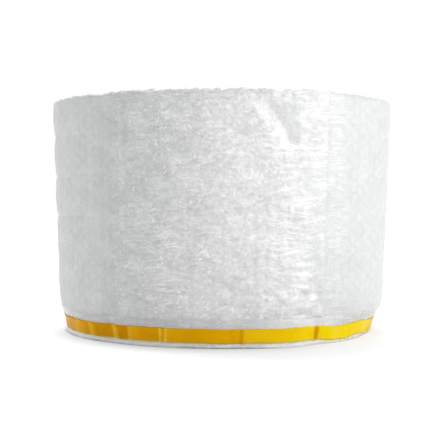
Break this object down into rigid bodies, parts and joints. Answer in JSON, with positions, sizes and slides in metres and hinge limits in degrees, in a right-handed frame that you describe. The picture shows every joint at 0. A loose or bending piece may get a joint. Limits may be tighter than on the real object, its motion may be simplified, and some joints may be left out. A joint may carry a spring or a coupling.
{
  "type": "roll of bubble bags",
  "caption": "Coreless roll of self-seal bubble film bags standing on its open end, with folded turns, upright cross seals and an amber release liner round the lips.",
  "frame": {"origin": "on the winding axis, on the plane that the lips stand on", "axes": "+Z along the winding axis, from the open lips up to the folded end; -Y is the front; the web's outer end is 34.5 degrees from -Y towards +X"},
  "size_m": [0.3398, 0.3465, 0.2286],
  "materials": {
    "bubble_film": "smooth clear film over air bubbles, wound many layers deep, so that it reads as pale silver",
    "liner_film": "glossy amber film"
  },
  "bodies": {
    "root": {"bubble_bag_web": "bubble_film", "release_liner": "liner_film"}
  },
  "joints": []
}
